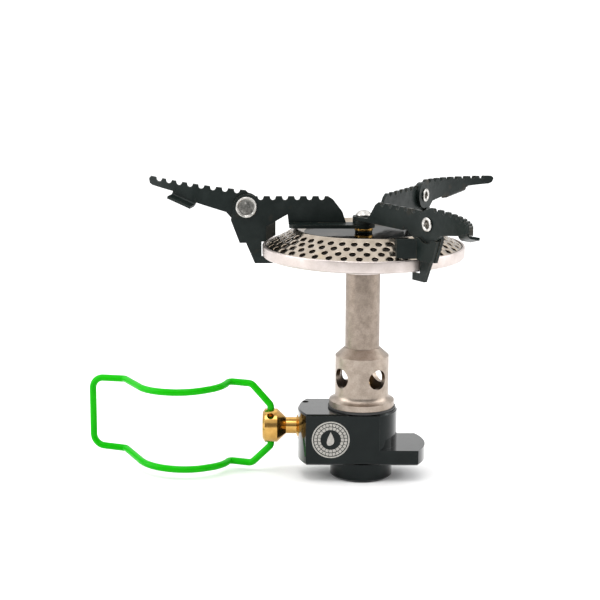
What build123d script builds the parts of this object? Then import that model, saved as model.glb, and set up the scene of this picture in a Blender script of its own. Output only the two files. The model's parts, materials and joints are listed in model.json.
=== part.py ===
"""Folding canister camping stove.

Frame: origin at the centre of the threaded boss's mouth, +Z up the burner axis,
the valve spindle along X with its wire handle towards -X.  Units are millimetres.
"""

from build123d import *
from math import asin, atan2, cos, degrees, pi, radians, sin, tan
import os

os.makedirs("parts", exist_ok=True)

# ---------------------------------------------------------------- driving dimensions
SHEET = 1.0  # steel sheet of the pot supports
RUN = 0.06  # radial clearance of a pin in its hole
GAP = 0.1  # air between sheets and faces that slide past each other

# valve body, a turned disc with two flats
BODY_R = 18.35
FLAT_Y = 9.0
BODY_Z0 = 5.2
BODY_Z1 = 20.1
LEDGE_Z = 9.6  # top of the low tab on the +X side
TURRET_R = 10.25
BOSS_R = 8.95
BODY_EDGE = 0.45
BOSS_EDGE = 0.6
SOCKET_R = 5.6  # clears the 7/16-28 UNEF canister thread
THREAD_DEPTH = 5.0
SOCKET_DEPTH = 7.6
UNDERCUT_R = 6.1
INLET_R = 2.6
INLET_TOP = 11.2
PROBE_FOOT = 5.1
FILTER_Z = 8.6
GASWAY_R = 0.7
SEAT_R = 0.9
JET_WELL_R = 1.5
PIN_R = 0.95
PIN_XY = (-16.15, 5.0)
PIN_LENGTH = 3.9

# valve spindle, along X
AXIS_Z = 14.45
BLOCK_X0 = -28.45
BLOCK_X1 = -24.2
NECK_X = -21.7
BLOCK_R = 4.85
NECK_R = 2.4
SPINDLE_R = 2.2
GLAND_R = 4.0
GLAND_X0 = -18.7
GLAND_X1 = -12.4
SEAT_X = -3.2
ORING_X = -15.1
ORING_R = 0.35
GROOVE_R = 1.75
GROOVE_W = 1.6
HANDLE_X = -26.1  # vertical hinge of the wire handle

# wire handle, in its own frame: x out from the hinge, y to the left, z up
WIRE_R = 1.0
HANDLE_AZIMUTH = 161.0
LOOP_ROOT_Z = 11.9
LOOP_END_Z = 10.3
HUG_X = 26.3  # the arc that wraps the mixing chamber when folded
HUG_Y = 2.3
HUG_R = 13.1
LOOP_END_X = 54.8

# mixing chamber and stem
FLANGE_Z = 20.8
FLANGE_R = 9.3
CHAMBER_R = 7.65
FLANGE_TOP = 22.5
CHAMBER_Z0 = 24.6
CHAMBER_Z1 = 35.5
STEM_Z = 37.85
STEM_R = 4.9
STEM_BORE = 3.9
STEM_TOP = 62.4
SPIGOT_R = 6.0
SPIGOT_Z = 16.7
CHAMBER_BORE = 6.3
SPIGOT_BORE = 4.4
CHAMBER_FLOOR = 22.6
JET_NECK_Z = 22.2
JET_TIP_Z = 29.4
JET_R = 3.4
JET_TIP_R = 1.4
AIR_HOLE_R = 2.85
AIR_HOLE_Z = 29.5
AIR_HOLE_AZIMUTH = 35.0

# burner
RIM_R = 28.5
RIM_Z0 = 64.17
RIM_Z1 = 67.55
BOWL_SHEET = 0.8
HUB_R = 5.9
HUB_Z = 59.6
BOWL_FLAT_R = 24.6
PLATE_SHEET = 0.6
PLATE_R = 27.6
PLATE_EDGE_Z = 67.35
CREST_R = 19.2
CREST_Z = 72.0
WELL_R = 16.4
WELL_Z = 70.9
PORT_R = 0.88
PORT_RINGS = (21.1, 22.98, 24.86, 26.6)
PORTS_PER_RING = 40

# central pivot that carries the pot supports
POST_R = 1.5
HEAD_R = 2.3
HEAD_RIM = 0.3
HEAD_DOME = 1.3
EYE_R = 3.15
EYE_Z0 = 72.35
SPACER_R = 2.6

# pot supports, in an arm's frame: s outwards, n anticlockwise, z up
ARM_AZIMUTH = {"left": 181.5, "back": 61.1, "front": -55.5}
EYE_LEVEL = {"left": 0, "back": 1, "front": 2}
BLADE_RAISE = {"left": 8.5, "back": 0.0, "front": 1.0}
ARM_FACE = -1.58  # anticlockwise face of the inner plate
RIVET_S = 33.0
RIVET_Z = 77.74
RIVET_R = 1.3
RIVET_HEAD_R = 3.0
TOOTH_PITCH = 3.44
NOTCH_Z = 79.7
TOOTH_H = 1.1
NOTCH_R = 0.75
ARM_NOTCHES = 6
FIRST_NOTCH_S = 11.78
PLATE_S0 = 4.9  # inner end of the toothed plate
PLATE_S1 = 30.7  # its outer end, beside the rivet
FLANGE_S1 = 21.0  # outer end of the base flange
FLANGE_N = 2.9  # outer edge of the base flange
LEG_S0 = 27.35
LEG_S1 = 28.7  # inner edge of the leg beside the rim
LEG_STEP_Z = 67.55
OVER_RIM_Z = 67.9  # lower edge of what reaches in over the rim
LEG_FOOT_Z = 61.7
HEM_Z = 73.7
HEM_DIP = 1.2
WING_S = 24.7  # free end of the wing
WING_N = -8.2
WING_Z1 = 73.2
WING_AIR = 0.45  # air between the wing and the burner's slope

# outer blades, in a blade's frame: x outwards from the rivet, y up, bent clockwise
BLADE_BEND_R = 38.0
BLADE_BEND_X = 3.0
BLADE_ROOT_R = 3.9
BLADE_LENGTH = 31.0
BLADE_PITCH = 3.42
BLADE_NOTCHES = 8
BLADE_NOTCH_T = 3.28
BLADE_NOTCH_Y = 3.4
BLADE_FALL = 0.038  # the toothed edge drops this much per mm outwards
LIP_T0 = 14.2
LIP_T1 = 21.8
LIP_Y0 = -1.25
LIP_Y1 = 0.35
LIP_REACH = 2.9
LIP_SHEET = 0.75
TIP_Y = 0.95  # lower corner of the blade's blunt end
RIVET_TAIL_R = 1.95


def save(part, name):
    """Label a finished piece and write it as its own STEP file."""
    part.label = name
    export_step(part, f"parts/{name}.step")


# ---------------------------------------------------------------- valve body
spindle_plane = Plane(origin=(0, 0, AXIS_Z), x_dir=(0, 1, 0), z_dir=(1, 0, 0))

with BuildPart() as valve_body:
    with BuildSketch(Plane.XY.offset(BODY_Z0)):
        Circle(BODY_R)
        Rectangle(2 * BODY_R, 2 * FLAT_Y, mode=Mode.INTERSECT)
    extrude(amount=LEDGE_Z - BODY_Z0)
    with BuildSketch(Plane.XY.offset(LEDGE_Z)):
        Circle(BODY_R)
        Rectangle(BODY_R, 2 * BODY_R, align=(Align.MAX, Align.CENTER), mode=Mode.INTERSECT)
        Circle(TURRET_R)
        Rectangle(2 * BODY_R, 2 * FLAT_Y, mode=Mode.INTERSECT)
    extrude(amount=BODY_Z1 - LEDGE_Z)
    chamfer(valve_body.edges().filter_by(Plane.XY).group_by(Axis.Z)[-1], length=BODY_EDGE)
    chamfer(valve_body.edges().filter_by(Plane.XY).group_by(Axis.Z)[0], length=BODY_EDGE)
    # threaded boss that screws onto the canister
    with BuildSketch(Plane.XY):
        Circle(BOSS_R)
    extrude(amount=BODY_Z0)
    chamfer(valve_body.edges().group_by(Axis.Z)[0], length=BOSS_EDGE)
    # socket for the canister valve, and the inlet chamber above it
    with BuildSketch(Plane.XY):
        Circle(SOCKET_R)
    extrude(amount=THREAD_DEPTH, mode=Mode.SUBTRACT)
    with BuildSketch(Plane.XY.offset(THREAD_DEPTH)):
        Circle(UNDERCUT_R)
    extrude(amount=SOCKET_DEPTH - THREAD_DEPTH, mode=Mode.SUBTRACT)
    with BuildSketch(Plane.XY.offset(SOCKET_DEPTH)):
        Circle(INLET_R)
    extrude(amount=INLET_TOP - SOCKET_DEPTH, mode=Mode.SUBTRACT)
    # stepped bore for the gland, the spindle and the needle seat
    with BuildSketch(spindle_plane.offset(-BODY_R - 1)):
        Circle(GLAND_R)
    extrude(amount=BODY_R + 1 + GLAND_X1, mode=Mode.SUBTRACT)
    with BuildSketch(spindle_plane.offset(GLAND_X1)):
        Circle(SPINDLE_R + RUN)
    extrude(amount=SEAT_X - GLAND_X1, mode=Mode.SUBTRACT)
    with BuildSketch(spindle_plane.offset(SEAT_X)):
        Circle(SEAT_R)
    extrude(amount=-SEAT_X + SEAT_R, mode=Mode.SUBTRACT)
    # slanted gas way from the inlet chamber to the spindle bore
    with BuildSketch(Plane(origin=(-0.8, 0, 9.8), z_dir=(-1.1, 0, 1))):
        Circle(GASWAY_R)
    extrude(amount=6.4, mode=Mode.SUBTRACT)
    # jet well and the socket that takes the mixing chamber's spigot
    with BuildSketch(Plane.XY.offset(AXIS_Z)):
        Circle(JET_WELL_R)
    extrude(amount=SPIGOT_Z - AXIS_Z, mode=Mode.SUBTRACT)
    with BuildSketch(Plane.XY.offset(SPIGOT_Z)):
        Circle(SPIGOT_R)
    extrude(amount=BODY_Z1 - SPIGOT_Z, mode=Mode.SUBTRACT)
    # hole for the pin that locks the gland
    with BuildSketch(Plane.XY.offset(BODY_Z1)):
        with Locations(PIN_XY):
            Circle(PIN_R)
    extrude(amount=-(BODY_Z1 - AXIS_Z), mode=Mode.SUBTRACT)
save(valve_body.part, "valve_body")

with BuildPart() as gland_pin:
    with BuildSketch(Plane.XY.offset(AXIS_Z)):
        with Locations(PIN_XY):
            Circle(PIN_R)
    extrude(amount=PIN_LENGTH)
save(gland_pin.part, "gland_pin")

# ---------------------------------------------------------------- canister side
with BuildPart() as canister_seal:
    with BuildSketch(Plane.XZ):
        with Locations((4.6, SOCKET_DEPTH - 1.0)):
            Circle(0.98)
    revolve(axis=Axis.Z)
save(canister_seal.part, "canister_seal")

with BuildPart() as valve_probe:
    with BuildSketch(Plane.XZ):
        with BuildLine():
            Polyline(
                (0.4, PROBE_FOOT),
                (0.9, PROBE_FOOT),
                (1.1, PROBE_FOOT + 0.3),
                (1.1, SOCKET_DEPTH),
                (INLET_R, SOCKET_DEPTH),
                (INLET_R, FILTER_Z),
                (0.4, FILTER_Z),
                close=True,
            )
        make_face()
    revolve(axis=Axis.Z)
save(valve_probe.part, "valve_probe")

with BuildPart() as gas_filter:
    with BuildSketch(Plane.XY.offset(FILTER_Z)):
        Circle(INLET_R)
    extrude(amount=1.0)
save(gas_filter.part, "gas_filter")

# ---------------------------------------------------------------- spindle and gland
def turned_along_x(points):
    """Revolve a closed (x, radius) outline about the spindle axis."""
    with BuildPart() as turned:
        with BuildSketch(Plane(origin=(0, 0, AXIS_Z), x_dir=(1, 0, 0), z_dir=(0, -1, 0))):
            with BuildLine():
                Polyline(*points, close=True)
            make_face()
        revolve(axis=Axis((0, 0, AXIS_Z), (1, 0, 0)))
    return turned


spindle_outline = (
    (BLOCK_X0, 0),
    (BLOCK_X0, BLOCK_R - 0.9),
    (BLOCK_X0 + 0.7, BLOCK_R),
    (BLOCK_X1, BLOCK_R),
    (NECK_X, NECK_R),
    (GLAND_X1 - 0.2, NECK_R),
    (GLAND_X1 - 0.2, SPINDLE_R),
    (SEAT_X - 2.6, SPINDLE_R),
    (SEAT_X - 1.4, 1.2),
    (SEAT_X + 0.6, 0.3),
    (SEAT_X + 0.6, 0),
)
spindle_blank = turned_along_x(spindle_outline)

with BuildPart() as spindle:
    add(spindle_blank.part)
    # groove of the O-ring
    with BuildSketch(spindle_plane.offset(ORING_X - GROOVE_W / 2)):
        Circle(NECK_R + 1)
        Circle(GROOVE_R, mode=Mode.SUBTRACT)
    extrude(amount=GROOVE_W, mode=Mode.SUBTRACT)
    # vertical bores that hold the ends of the wire
    with BuildSketch(Plane.XY.offset(AXIS_Z - BLOCK_R - 1)):
        with Locations((HANDLE_X, 0)):
            Circle(WIRE_R + RUN)
    extrude(amount=2 * BLOCK_R + 2, mode=Mode.SUBTRACT)
    # open cross hole through the block, tipped up towards the front
    cross_tilt = radians(48)
    cross_axis = Vector(0, -cos(cross_tilt), sin(cross_tilt))
    with BuildSketch(Plane(origin=Vector(HANDLE_X, 0, AXIS_Z) + cross_axis * 2.2, z_dir=cross_axis)):
        Circle(1.0)
    extrude(amount=4, mode=Mode.SUBTRACT)
save(spindle.part, "spindle")

with BuildPart() as spindle_seal:
    with BuildSketch(Plane.XZ):
        with Locations((ORING_X, AXIS_Z + GROOVE_R + ORING_R)):
            Circle(ORING_R)
    revolve(axis=Axis((0, 0, AXIS_Z), (1, 0, 0)))
save(spindle_seal.part, "spindle_seal")

gland_bush = turned_along_x(
    (
        (GLAND_X0, NECK_R + RUN),
        (GLAND_X0, 2.8),
        (GLAND_X0 + 1.0, GLAND_R),
        (GLAND_X1, GLAND_R),
        (GLAND_X1, NECK_R + RUN),
    )
)
with BuildPart() as gland:
    add(gland_bush.part)
    # flat cut by the locking pin
    with BuildSketch(Plane.XY.offset(AXIS_Z - 0.5)):
        with Locations(PIN_XY):
            Circle(PIN_R + 0.02)
    extrude(amount=5, mode=Mode.SUBTRACT)
save(gland.part, "spindle_gland")

# ---------------------------------------------------------------- wire handle
handle_plane = Plane(
    origin=(HANDLE_X, 0, AXIS_Z),
    x_dir=(cos(radians(HANDLE_AZIMUTH)), sin(radians(HANDLE_AZIMUTH)), 0),
    z_dir=(0, 0, 1),
)


def wire_side():
    """Corners and bend radii of the wire's upper half, from its pin to the end bar."""
    arc_start = 190.0
    arc_end = 43.0
    corners = 3
    turn = (arc_start - arc_end) / corners
    reach = HUG_R / cos(radians(turn / 2))
    points = [(0, 0, 1.6), (0, 0, 6.0), (5.9, 0, LOOP_ROOT_Z), (12.9, 0, LOOP_ROOT_Z)]
    radii = [1.6, 2.5, 1.5]
    for k in range(corners):
        angle = radians(arc_start - turn * (k + 0.5))
        z = LOOP_ROOT_Z - 0.25 * (k + 1)
        points.append((HUG_X + reach * cos(angle), HUG_Y + reach * sin(angle), z))
        radii.append(HUG_R * 0.97)
    points.append((44.6, 3.0, LOOP_END_Z + 0.3))
    radii.append(1.6)
    points.append((LOOP_END_X, 3.5, LOOP_END_Z))
    radii.append(3.4)
    return points, radii


side_points, side_radii = wire_side()
loop_points = side_points + [(x, y, -z) for x, y, z in reversed(side_points)]
loop_radii = side_radii + list(reversed(side_radii))
world_points = [handle_plane.from_local_coords(Vector(*p)) for p in loop_points]

with BuildPart() as wire_handle:
    with BuildLine() as wire_path:
        FilletPolyline(*world_points, radius=loop_radii)
    with BuildSketch(Plane(origin=wire_path.line @ 0, z_dir=wire_path.line % 0)):
        Circle(WIRE_R)
    sweep()
save(wire_handle.part, "wire_handle")

# ---------------------------------------------------------------- jet, mixing chamber, stem
with BuildPart() as jet:
    # hexagon, then the round nozzle above it and the shank below
    with BuildSketch(Plane.XY.offset(SPIGOT_Z)):
        RegularPolygon(3.0, 6)
    extrude(amount=5.5)
    with BuildSketch(Plane.XZ):
        with BuildLine():
            Polyline(
                (0, JET_NECK_Z),
                (JET_R, JET_NECK_Z),
                (JET_R, JET_NECK_Z + 2.4),
                (JET_TIP_R, JET_TIP_Z),
                (0, JET_TIP_Z),
                close=True,
            )
        make_face()
    revolve(axis=Axis.Z)
    with BuildSketch(Plane.XY.offset(AXIS_Z + 1.1)):
        Circle(JET_WELL_R)
    extrude(amount=SPIGOT_Z - AXIS_Z - 1.1)
    # feed bore, and the fine orifice at the tip
    with BuildSketch(Plane.XY.offset(AXIS_Z)):
        Circle(GASWAY_R)
    extrude(amount=JET_TIP_Z - 0.4 - AXIS_Z, mode=Mode.SUBTRACT)
    with BuildSketch(Plane.XY.offset(JET_TIP_Z - 0.4)):
        Circle(0.25)
    extrude(amount=1, mode=Mode.SUBTRACT)
save(jet.part, "jet")

with BuildPart() as flange_gasket:
    with BuildSketch(Plane.XY.offset(BODY_Z1)):
        Circle(FLANGE_R + 0.35)
        Circle(SPIGOT_R + 0.05, mode=Mode.SUBTRACT)
    extrude(amount=FLANGE_Z - BODY_Z1)
save(flange_gasket.part, "flange_gasket")

with BuildPart() as mixing_chamber:
    with BuildSketch(Plane.XZ):
        with BuildLine():
            Polyline(
                (SPIGOT_BORE, SPIGOT_Z),
                (SPIGOT_R, SPIGOT_Z),
                (SPIGOT_R, FLANGE_Z),
                (FLANGE_R, FLANGE_Z),
                (FLANGE_R, FLANGE_TOP),
            )
            Spline((FLANGE_R, FLANGE_TOP), (CHAMBER_R, CHAMBER_Z0), tangents=((-1, 0.35), (0, 1)))
            Polyline(
                (CHAMBER_R, CHAMBER_Z0),
                (CHAMBER_R, CHAMBER_Z1),
                (STEM_R + 0.15, STEM_Z),
                (STEM_R, STEM_Z),
                (STEM_R, CHAMBER_Z1 - 1.2),
                (CHAMBER_BORE, CHAMBER_Z1 - 1.2),
                (CHAMBER_BORE, CHAMBER_FLOOR),
                (SPIGOT_BORE, CHAMBER_FLOOR),
                (SPIGOT_BORE, SPIGOT_Z),
            )
        make_face()
    revolve(axis=Axis.Z)
    for quarter in range(4):
        hole_azimuth = radians(AIR_HOLE_AZIMUTH + 90 * quarter)
        outwards = Vector(cos(hole_azimuth), sin(hole_azimuth), 0)
        with BuildSketch(Plane(origin=Vector(0, 0, AIR_HOLE_Z) + outwards * 4, z_dir=outwards)):
            Circle(AIR_HOLE_R)
        extrude(amount=5, mode=Mode.SUBTRACT)
save(mixing_chamber.part, "mixing_chamber")

with BuildPart() as burner_stem:
    with BuildSketch(Plane.XY.offset(CHAMBER_Z1 - 1.2)):
        Circle(STEM_R)
        Circle(STEM_BORE, mode=Mode.SUBTRACT)
    extrude(amount=STEM_TOP - CHAMBER_Z1 + 1.2)
save(burner_stem.part, "burner_stem")

# ---------------------------------------------------------------- burner
with BuildPart() as burner_bowl:
    with BuildSketch(Plane.XZ):
        with BuildLine():
            Polyline(
                (STEM_R, HUB_Z),
                (HUB_R, HUB_Z),
                (HUB_R, HUB_Z + 0.7),
                (BOWL_FLAT_R, RIM_Z0),
                (RIM_R, RIM_Z0),
                (RIM_R, RIM_Z1),
                (RIM_R - BOWL_SHEET, RIM_Z1),
                (RIM_R - BOWL_SHEET, RIM_Z0 + BOWL_SHEET),
                (BOWL_FLAT_R, RIM_Z0 + BOWL_SHEET),
                (HUB_R, HUB_Z + 0.7 + BOWL_SHEET),
                (HUB_R, STEM_TOP),
                (STEM_R, STEM_TOP),
                close=True,
            )
        make_face()
    revolve(axis=Axis.Z)
    rim_circles = burner_bowl.edges().filter_by(GeomType.CIRCLE).group_by(SortBy.RADIUS)[-1]
    fillet(rim_circles.sort_by(Axis.Z)[0], radius=0.7)
    rim_circles = burner_bowl.edges().filter_by(GeomType.CIRCLE).group_by(SortBy.RADIUS)[-1]
    fillet(rim_circles.sort_by(Axis.Z)[-1], radius=0.3)
save(burner_bowl.part, "burner_bowl")

slope_angle = atan2(CREST_Z - PLATE_EDGE_Z, PLATE_R - CREST_R)


def slope_z(r):
    """Height of the perforated slope's upper face at radius r."""
    return PLATE_EDGE_Z + (PLATE_R - r) * tan(slope_angle)


with BuildPart() as burner_plate:
    with BuildSketch(Plane.XZ):
        with BuildLine() as plate_line:
            FilletPolyline(
                (POST_R, WELL_Z),
                (WELL_R, WELL_Z),
                (CREST_R, CREST_Z + 0.35),
                (PLATE_R, PLATE_EDGE_Z),
                radius=[1.4, 1.6],
            )
            offset(amount=-PLATE_SHEET, side=Side.RIGHT, closed=True)
        make_face()
    revolve(axis=Axis.Z)
    for ring, port_ring_r in enumerate(PORT_RINGS):
        stagger = 0.5 * (ring % 2)
        port_planes = []
        for k in range(PORTS_PER_RING):
            port_azimuth = 2 * pi * (k + stagger) / PORTS_PER_RING
            outwards = Vector(cos(port_azimuth), sin(port_azimuth), 0)
            normal = outwards * sin(slope_angle) + Vector(0, 0, cos(slope_angle))
            centre = outwards * port_ring_r + Vector(0, 0, slope_z(port_ring_r))
            port_planes.append(Plane(origin=centre, z_dir=normal))
        with Locations(*port_planes):
            Cylinder(PORT_R, 3, mode=Mode.SUBTRACT)
save(burner_plate.part, "burner_plate")

# ---------------------------------------------------------------- central pivot
head_z = EYE_Z0 + 3 * (SHEET + GAP)
head_top = head_z + HEAD_RIM + HEAD_DOME
post_foot = WELL_Z - PLATE_SHEET - 2.6
dome_r = (HEAD_R**2 + HEAD_DOME**2) / (2 * HEAD_DOME)
half_angle = asin(HEAD_R / dome_r) / 2
dome_mid = (dome_r * sin(half_angle), head_top - dome_r * (1 - cos(half_angle)))

with BuildPart() as pivot_post:
    with BuildSketch(Plane.XZ):
        with BuildLine():
            Polyline(
                (0, head_top),
                (0, post_foot),
                (POST_R, post_foot),
                (POST_R, head_z),
                (HEAD_R, head_z),
                (HEAD_R, head_z + HEAD_RIM),
            )
            ThreePointArc((HEAD_R, head_z + HEAD_RIM), dome_mid, (0, head_top))
        make_face()
    revolve(axis=Axis.Z)
save(pivot_post.part, "pivot_post")

with BuildPart() as pivot_spacer:
    with BuildSketch(Plane.XY.offset(WELL_Z)):
        Circle(SPACER_R)
        Circle(POST_R, mode=Mode.SUBTRACT)
    extrude(amount=EYE_Z0 - GAP - WELL_Z)
save(pivot_spacer.part, "pivot_spacer")

with BuildPart() as pivot_nut:
    with BuildSketch(Plane.XY.offset(WELL_Z - PLATE_SHEET)):
        RegularPolygon(2.75, 6, major_radius=False)
        Circle(POST_R, mode=Mode.SUBTRACT)
    extrude(amount=-2.2)
save(pivot_nut.part, "pivot_nut")


# ---------------------------------------------------------------- pot supports
def arm_plane(azimuth):
    """Frame of one arm: x outwards, y anticlockwise, z up."""
    return Plane(origin=(0, 0, 0), x_dir=(cos(radians(azimuth)), sin(radians(azimuth)), 0), z_dir=(0, 0, 1))


def side_plane(arm, n):
    """Upright plane of an arm at offset n, seen from its clockwise side: x outwards, y up."""
    return Plane(origin=arm.from_local_coords(Vector(0, n, 0)), x_dir=arm.x_dir, z_dir=-arm.y_dir)


def level_plane(arm, z):
    """Level plane of an arm at height z."""
    return Plane(origin=(0, 0, z), x_dir=arm.x_dir, z_dir=(0, 0, 1))


def notch(s, z, depth, half_width):
    """Round-bottomed gap between two teeth, drawn on the current sketch."""
    with Locations((s, z + half_width)):
        Circle(half_width, mode=Mode.SUBTRACT)
    with Locations((s, z + half_width)):
        Trapezoid(2 * half_width + 0.9, 2 * depth, 100, align=(Align.CENTER, Align.MIN), mode=Mode.SUBTRACT)


def support_arm(azimuth, eye_z):
    """Inner half of a pot support: toothed plate, base flange with the eye, and hooked leg."""
    arm = arm_plane(azimuth)
    tooth_top = NOTCH_Z + TOOTH_H
    arm_back = ARM_FACE - SHEET
    with BuildPart() as support:
        # toothed plate and leg in one sheet
        with BuildSketch(side_plane(arm, ARM_FACE)):
            with BuildLine():
                Polyline(
                    (PLATE_S1, RIVET_Z),
                    (PLATE_S1, tooth_top - 0.4),
                    (PLATE_S1 - 0.5, tooth_top),
                    (10.0, tooth_top),
                    (8.6, tooth_top - 0.9),
                    (5.9, 76.4),
                    (PLATE_S0, eye_z + SHEET),
                    (PLATE_S0, eye_z),
                    (FLANGE_S1, eye_z),
                    (21.4, 75.7),
                    (LEG_S0, 72.2),
                    (LEG_S0, OVER_RIM_Z),
                    (LEG_S1, OVER_RIM_Z),
                    (LEG_S1, 63.7),
                    (25.5, 63.7),
                    (25.5, LEG_FOOT_Z),
                    (30.6, LEG_FOOT_Z),
                    (33.1, LEG_STEP_Z),
                    (34.9, LEG_STEP_Z),
                    (37.4, 74.1),
                    (36.6, 77.0),
                    (PLATE_S1, RIVET_Z),
                )
            make_face()
            with Locations((RIVET_S, RIVET_Z)):
                Circle(3.7)
            for k in range(ARM_NOTCHES):
                notch(FIRST_NOTCH_S + TOOTH_PITCH * k, NOTCH_Z, TOOTH_H, NOTCH_R)
            with Locations((RIVET_S, RIVET_Z)):
                Circle(RIVET_R + RUN, mode=Mode.SUBTRACT)
        extrude(amount=SHEET)
        # base flange, which narrows to the eye on the pivot
        with BuildSketch(level_plane(arm, eye_z)):
            with BuildLine():
                Polyline(
                    (FLANGE_S1, arm_back),
                    (FLANGE_S1, FLANGE_N - 1),
                    (FLANGE_S1 - 1, FLANGE_N),
                    (6.0, FLANGE_N),
                    (0, EYE_R),
                    (0, -EYE_R),
                    (PLATE_S0, arm_back),
                    close=True,
                )
            make_face()
            Circle(EYE_R)
            Circle(POST_R + RUN, mode=Mode.SUBTRACT)
        extrude(amount=SHEET)
        # hem folded back over the leg, the stop that the blade rests on, dipped to let the
        # folding blade's tooth by
        with BuildSketch(side_plane(arm, arm_back)):
            with BuildLine():
                Polyline(
                    (27.6, OVER_RIM_Z),
                    (LEG_S1, OVER_RIM_Z),
                    (LEG_S1, LEG_STEP_Z),
                    (34.4, LEG_STEP_Z),
                    (34.9, LEG_STEP_Z + 0.5),
                    (37.0, HEM_Z),
                    (34.8, HEM_Z),
                    (33.2, HEM_Z - HEM_DIP),
                    (31.2, HEM_Z - HEM_DIP),
                    (28.6, HEM_Z),
                    (LEG_S0, HEM_Z),
                    (LEG_S0, 69),
                    close=True,
                )
            make_face()
        extrude(amount=SHEET)
        # wing bent out from the leg's inner edge, resting over the burner's slope
        with BuildSketch(level_plane(arm, WING_Z1)):
            with BuildLine():
                Polyline(
                    (LEG_S0, arm_back),
                    (LEG_S0 + SHEET, arm_back),
                    (LEG_S0 + SHEET, arm_back - SHEET),
                    (WING_S + SHEET, WING_N),
                    (WING_S, WING_N + 0.3),
                    (LEG_S0, arm_back - 0.4),
                    close=True,
                )
            make_face()
        extrude(amount=OVER_RIM_Z - WING_Z1)
        # the wing's lower edge follows the burner's slope
        with BuildSketch(Plane.XZ):
            with BuildLine():
                Polyline(
                    (CREST_R, RIM_Z0),
                    (LEG_S0 + SHEET, RIM_Z0),
                    (LEG_S0 + SHEET, slope_z(LEG_S0 + SHEET) + WING_AIR),
                    (CREST_R, CREST_Z + WING_AIR),
                    close=True,
                )
            make_face()
        revolve(axis=Axis.Z, mode=Mode.SUBTRACT)
    return support.part


def blade(azimuth, raise_angle):
    """Outer half of a pot support: a toothed blade bent clockwise in plan, with a curled lip."""
    arm = arm_plane(azimuth)
    blade_face = ARM_FACE - SHEET - GAP
    rivet = arm.from_local_coords(Vector(RIVET_S, blade_face, RIVET_Z))
    tilt = radians(raise_angle)
    out = arm.x_dir * cos(tilt) + Vector(0, 0, 1) * sin(tilt)
    profile = Plane(origin=rivet, x_dir=out, z_dir=-arm.y_dir)
    plan = Plane(origin=rivet, x_dir=out, z_dir=profile.y_dir)

    centre_y = -SHEET / 2 - BLADE_BEND_R
    inner_r = BLADE_BEND_R - SHEET / 2
    outer_r = BLADE_BEND_R + SHEET / 2
    bend_end = (BLADE_LENGTH + 1 - BLADE_BEND_X) / BLADE_BEND_R

    def along(t):
        """Distance out from the rivet of a point t along the bent blade."""
        return BLADE_BEND_X + BLADE_BEND_R * sin((t - BLADE_BEND_X) / BLADE_BEND_R)

    def crown(t):
        """Height of the teeth above the rivet at t."""
        return BLADE_NOTCH_Y - BLADE_FALL * t + TOOTH_H

    def at(radius, angle):
        """Point of the bend in plan, at a radius and an angle past its start."""
        return (BLADE_BEND_X + radius * sin(angle), centre_y + radius * cos(angle))

    with BuildPart() as bent:
        # plan of the bent sheet: a straight root, then an arc
        with BuildSketch(plan.offset(-8)):
            with BuildLine():
                CenterArc((BLADE_BEND_X, centre_y), outer_r, 90, -degrees(bend_end))
                CenterArc((BLADE_BEND_X, centre_y), inner_r, 90, -degrees(bend_end))
                Line(at(outer_r, bend_end), at(inner_r, bend_end))
                Polyline(at(inner_r, 0), (-5, -SHEET), (-5, 0), at(outer_r, 0))
            make_face()
        extrude(amount=16)
        # side view of the blade cuts the bent sheet to shape
        with BuildSketch(profile.offset(-2)):
            with BuildLine():
                Polyline(
                    (0, BLADE_ROOT_R),
                    (0.9, crown(0)),
                    (along(BLADE_LENGTH - 0.7), crown(BLADE_LENGTH)),
                    (along(BLADE_LENGTH), crown(BLADE_LENGTH) - 0.6),
                    (along(BLADE_LENGTH), TIP_Y + 1.3),
                    (along(BLADE_LENGTH - 0.5), TIP_Y + 0.4),
                    (along(BLADE_LENGTH - 1.5), TIP_Y),
                    (along(LIP_T1 + 0.3), LIP_Y1 + 0.3),
                    (along(LIP_T1), LIP_Y1),
                    (along(LIP_T0), LIP_Y0),
                    (5.4, -2.4),
                    (3.6, -3.9),
                    (0, -BLADE_ROOT_R),
                    close=True,
                )
            make_face()
            Circle(BLADE_ROOT_R)
            for k in range(BLADE_NOTCHES):
                t = BLADE_NOTCH_T + BLADE_PITCH * k
                notch(along(t), BLADE_NOTCH_Y - BLADE_FALL * t, TOOTH_H, NOTCH_R)
            Circle(RIVET_R + RUN, mode=Mode.SUBTRACT)
        extrude(amount=20, mode=Mode.INTERSECT)
        # lip curled over to the anticlockwise side at the foot of the blade
        lip_t = (LIP_T0 + LIP_T1) / 2
        lip_angle = (lip_t - BLADE_BEND_X) / BLADE_BEND_R
        lip_slope = atan2(LIP_Y1 - LIP_Y0, LIP_T1 - LIP_T0)
        along_bend = plan.x_dir * cos(lip_angle) - plan.y_dir * sin(lip_angle)
        tangent = along_bend * cos(lip_slope) + plan.z_dir * sin(lip_slope)
        side = plan.x_dir * sin(lip_angle) + plan.y_dir * cos(lip_angle)
        lip_x, lip_y = at(BLADE_BEND_R, lip_angle)
        lip_middle = plan.from_local_coords(Vector(lip_x, lip_y, (LIP_Y0 + LIP_Y1) / 2 + 0.1))
        lip_origin = lip_middle - tangent * ((LIP_T1 - LIP_T0) / 2)
        with BuildSketch(Plane(origin=lip_origin, x_dir=side, z_dir=tangent)):
            with BuildLine():
                drop = Line((0, 0.6), (0, 0))
                curl = TangentArc(drop @ 1, (1.2, -1.15), tangent=(0, -1))
                Line(curl @ 1, (LIP_REACH, -1.5))
            trace(line_width=LIP_SHEET)
        extrude(amount=LIP_T1 - LIP_T0)
    return bent.part


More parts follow.
